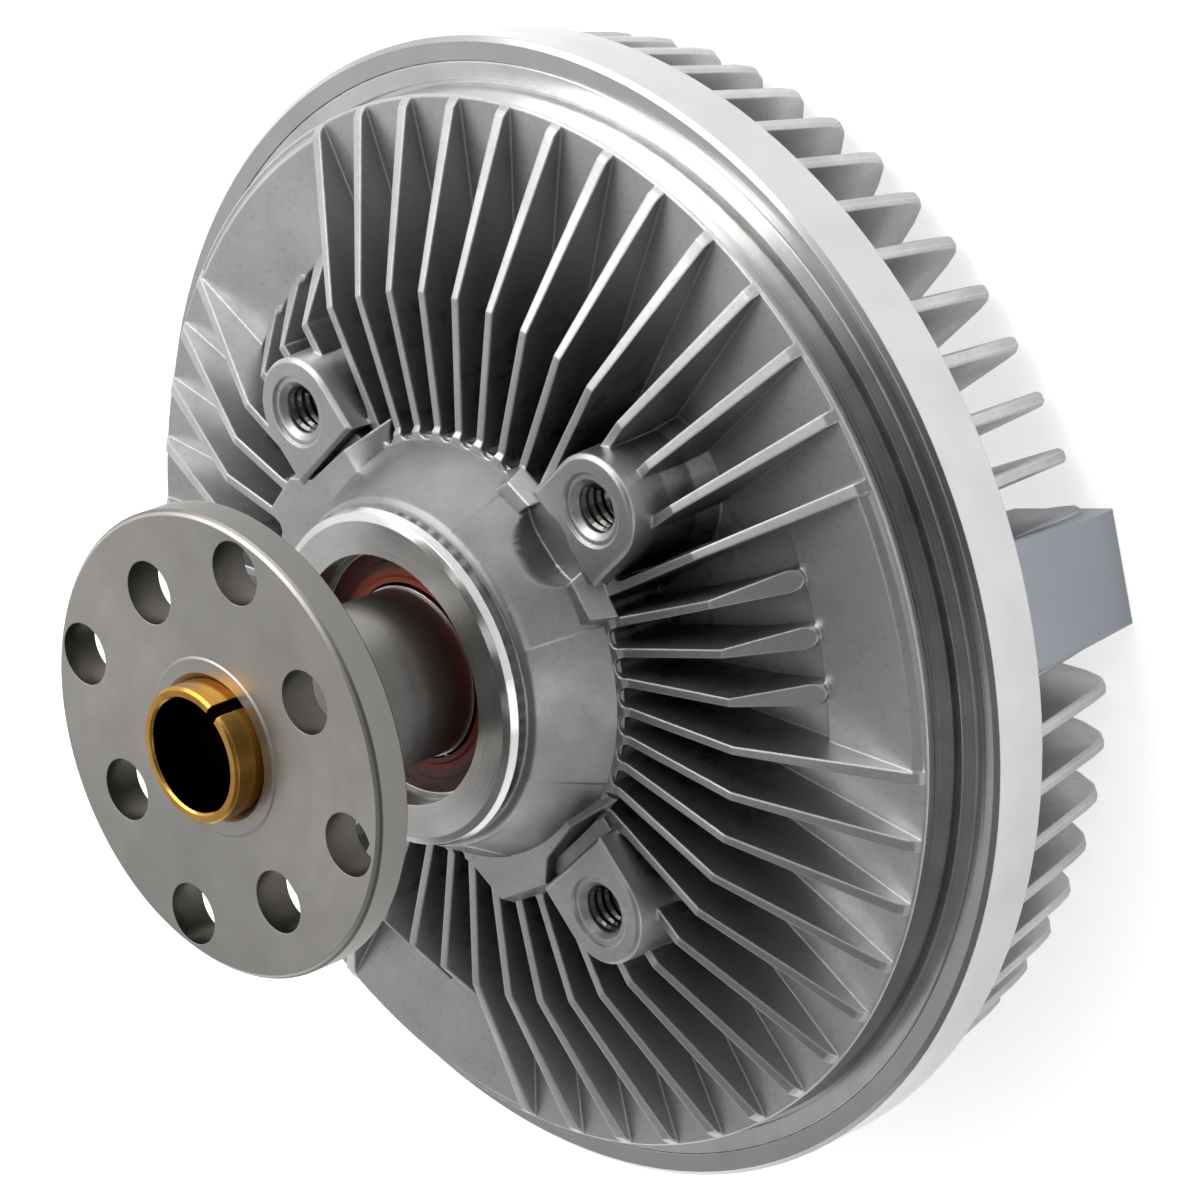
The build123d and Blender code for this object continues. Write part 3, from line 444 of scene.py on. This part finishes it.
def fan_hole_thread(name, angle):
    x = fan_circle / 2 * math.cos(math.radians(angle))
    y = fan_circle / 2 * math.sin(math.radians(angle))
    root_r = fan_bore_r + thread_sunk
    profile = ((root_r, thread_root_half), (thread_crest_r, thread_crest_half),
               (thread_crest_r, -thread_crest_half), (root_r, -thread_root_half))
    sides = len(profile)
    corners = []
    faces = [tuple(range(sides))]
    for step in range(thread_turns * steps_a_turn + 1):
        a = math.tau * step / steps_a_turn
        z = thread_top - thread_pitch * step / steps_a_turn
        for r, lift in profile:
            corners.append(((x + r * math.cos(a)) * MM, (y + r * math.sin(a)) * MM, (z + lift) * MM))
        if step:
            here = sides * step
            above = here - sides
            for side in range(sides):
                after = (side + 1) % sides
                faces.append((here + side, here + after, above + after, above + side))
    faces.append(tuple(reversed(range(len(corners) - sides, len(corners)))))
    return mesh_piece(name, corners, faces, cut_thread)


for number, angle in enumerate(boss_angles, 1):
    thread = fan_hole_thread("fan_hole_thread_%d" % number, angle)
    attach(thread, "housing")

# Cast flank of the hub: the steep cone from the pilot ring down to the roots of the fins. The
# four sectors that carry the fan bosses were drawn by a core of their own and lie a little
# deeper. Two of them have a round scoop in front of the boss, and the other two a flat floor.
# Angles are in degrees, and an off is an angle from the middle of a boss.
flank_in_r = 24.05
flank_out_r = 30.9
flank_top = -34.9
flank_slope = 1.877
flank_buried_z = -46.8
flank_lowest = flank_buried_z + 0.6
flank_steps = 46
rolled_edge_r = 24.9
rolled_edge_drop = 0.4
seam_off = 22.5
seam_half = 0.2
seam_depth = 0.3
seam_in_r = 24.6
seam_out_r = 25.4
boss_wall_x = 33.4
boss_foot_offs = (-12.0, -10.0, 14.0, 16.0)
boss_floor_z = -44.45
boss_half_width = 9.0
flat_floor_x = 31.0
flat_floor_angles = (120, 300)
scoop_start_x = 25.0
scoop_x = 33.3
scoop_y = 1.2
scoop_half_x = 6.4
scoop_half_y = 8.0
scoop_wall_from = 0.92
scoop_wall_rise = 70.0
fine_step = 0.2
coarse_step = 1.0
fine_near_boss = 17
fine_near_seam = 1
sharpest_smooth = math.radians(32)


def ramp(value, low, high):
    part = min(max((value - low) / (high - low), 0.0), 1.0)
    return part * part * (3 - 2 * part)


def turned_from(angle, middle):
    return (angle - middle + 180) % 360 - 180


def flank_reach(angle):
    # How far out the flank goes at this angle: to the fin roots, or to the foot of a boss.
    reach = flank_out_r
    starts, full, fading, ends = boss_foot_offs
    for middle in boss_angles:
        off = turned_from(angle, middle)
        share = ramp(off, starts, full) * (1 - ramp(off, fading, ends))
        wall_r = boss_wall_x / math.cos(math.radians(off))
        reach = max(reach, flank_out_r + share * (wall_r - flank_out_r))
    return reach


def flank_height(r, angle):
    # A rolled edge under the pilot ring and the cone's slope, less what the bosses' cores took.
    high = flank_top - rolled_edge_drop * ramp(r, flank_in_r, rolled_edge_r)
    high -= flank_slope * max(0.0, r - rolled_edge_r)
    for middle in boss_angles:
        off = abs(turned_from(angle, middle))
        within = 1 - ramp(off, seam_off - seam_half, seam_off + seam_half)
        high -= seam_depth * within * ramp(r, seam_in_r, seam_out_r)
    for middle in boss_angles:
        off = math.radians(turned_from(angle, middle))
        x = r * math.cos(off)
        y = r * math.sin(off)
        if middle in flat_floor_angles:
            if x > flat_floor_x and abs(y) < boss_half_width:
                high = max(high, boss_floor_z)
        elif x > scoop_start_x and abs(y - scoop_y) < boss_half_width:
            cube = (abs(x - scoop_x) / scoop_half_x) ** 3 + (abs(y - scoop_y) / scoop_half_y) ** 3
            wall = boss_floor_z + max(0.0, cube ** (1 / 3) - scoop_wall_from) * scoop_wall_rise
            high = min(max(high, boss_floor_z), wall)
    return max(high, flank_lowest)


def flank_angles():
    # Angles of the flank's columns, close together where a boss or a seam needs them.
    angles = []
    angle = 0.0
    while angle < 360:
        angles.append(angle)
        off = min(abs(turned_from(angle, middle)) for middle in boss_angles)
        fine = off < fine_near_boss or abs(off - seam_off) < fine_near_seam
        angle = round(angle + (fine_step if fine else coarse_step), 4)
    return angles


def hub_flank_piece():
    # A closed ring. Each column runs out along the top and comes back along the buried side.
    corners = []
    for angle in flank_angles():
        a = math.radians(angle)
        reach = flank_reach(angle)
        column = []
        for k in range(flank_steps + 1):
            r = flank_in_r + (reach - flank_in_r) * k / flank_steps
            column.append((r, flank_height(r, angle)))
        column.append((reach, flank_buried_z))
        column.append((flank_in_r, flank_buried_z))
        corners.extend((r * math.cos(a) * MM, r * math.sin(a) * MM, z * MM) for r, z in column)
    around = flank_steps + 3
    faces = []
    for here in range(0, len(corners), around):
        after = (here + around) % len(corners)
        for j in range(around):
            up = (j + 1) % around
            faces.append((here + j, here + up, after + up, after + j))
    made = mesh_piece("hub_flank", corners, faces, hub_cast)
    for face in made.data.polygons:
        face.use_smooth = face.index % around < flank_steps
    made.data.set_sharp_from_angle(angle=sharpest_smooth)
    return made


hub_flank = hub_flank_piece()
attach(hub_flank, "housing")


def plain_sight(tree):
    # 1 for what the camera sees straight, in a reflection or through glass, 0 for light that falls
    # on the object.
    seen = 0.0
    for kind in ("Is Camera Ray", "Is Glossy Ray", "Is Transmission Ray"):
        seen = node(tree, "Math", {0: seen, 1: node(tree, "LightPath", output=kind)},
                    operation="MAXIMUM")
    return seen


# Floor just under the fin tips: matt white, and lit by itself where it is only looked at
floor_half = 6.0
floor_z = solid_box[0][2] - 0.1 * MM
floor_glow = 0.72
floor_paint, tree = new_material("white_studio_floor")
matt_floor = node(tree, "BsdfDiffuse", {"Color": (0.8, 0.8, 0.8, 1)})
glow = node(tree, "Emission", {"Color": WHITE, "Strength": floor_glow})
lit_floor = node(tree, "AddShader", {0: matt_floor, 1: glow})
paint = node(tree, "MixShader", {0: plain_sight(tree), 1: matt_floor, 2: lit_floor})
node(tree, "OutputMaterial", {"Surface": paint})
floor_corners = [(x * floor_half, y * floor_half, floor_z)
                 for x, y in ((-1, -1), (1, -1), (1, 1), (-1, 1))]
floor = mesh_piece("floor", floor_corners, [(0, 1, 2, 3)], floor_paint)

# Room: a white backdrop low down, and above it a grey studio that is lightest on the +Y side
# and dark round the camera
world = bpy.data.worlds.new("studio")
scene.world = world
world.use_nodes = True
tree = world.node_tree
tree.nodes.clear()
heading = node(tree, "TexCoord", output="Generated")
heading_y = node(tree, "SeparateXYZ", {0: heading}, output="Y")
heading_z = node(tree, "SeparateXYZ", {0: heading}, output="Z")
to_camera = node(tree, "VectorMath", {0: heading, 1: view_back}, output="Value",
                 operation="DOT_PRODUCT")
white = node(tree, "Background", {"Color": WHITE, "Strength": 1.0})
soft = node(tree, "Background", {"Color": WHITE, "Strength": 0.45})
backdrop = node(tree, "MixShader", {0: plain_sight(tree), 1: soft, 2: white})
lit_side = node(tree, "MapRange", {"Value": heading_y, "From Min": -0.5, "From Max": 0.3,
                                   "To Min": 0.2, "To Max": 1.25})
unlit = node(tree, "MapRange", {"Value": to_camera, "From Min": 0.7, "From Max": 0.96,
                                "To Min": 1.0, "To Max": 0.1})
strength = node(tree, "Math", {0: lit_side, 1: unlit}, operation="MULTIPLY")
studio = node(tree, "Background", {"Color": WHITE, "Strength": strength})
overhead = node(tree, "MapRange", {"Value": heading_z, "From Min": 0.15, "From Max": 0.35})
room = node(tree, "MixShader", {0: overhead, 1: backdrop, 2: studio})
node(tree, "OutputWorld", {"Surface": room})

lamp_target = Vector((0, 0, -0.05))


def soft_lamp(name, place, width, height, watts):
    lamp = bpy.data.lights.new(name, "AREA")
    lamp.shape = "RECTANGLE"
    lamp.size = width
    lamp.size_y = height
    lamp.energy = watts
    made = bpy.data.objects.new(name, lamp)
    scene.collection.objects.link(made)
    made.location = place
    made.rotation_euler = (lamp_target - Vector(place)).to_track_quat("-Z", "Y").to_euler()


soft_lamp("key_lamp", (-0.15, 0.60, 0.50), width=0.7, height=0.7, watts=4.2)
soft_lamp("side_lamp", (0.9, -0.5, 0.2), width=0.4, height=0.6, watts=1.0)
